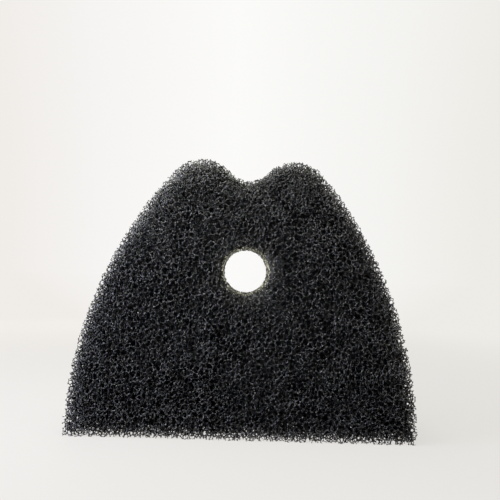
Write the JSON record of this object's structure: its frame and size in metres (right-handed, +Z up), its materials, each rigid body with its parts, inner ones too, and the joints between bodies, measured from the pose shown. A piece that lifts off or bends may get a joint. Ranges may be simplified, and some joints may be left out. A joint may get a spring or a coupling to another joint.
{
  "type": "filter sponge",
  "caption": "Thick upright pad of coarse black open-cell foam, arched sides, two rounded lobes with a valley between them at the top, and a round through hole below it.",
  "frame": {"origin": "middle of the flat base that the pad stands on", "axes": "+X across the pad's width, -Y out of its front face, +Z up towards the two lobes"},
  "size_m": [0.15, 0.04, 0.1197],
  "materials": {
    "foam": "black reticulated polyurethane foam, about 10 pores per inch, satin strands"
  },
  "bodies": {
    "root": {"filter_sponge": "foam"}
  },
  "joints": []
}
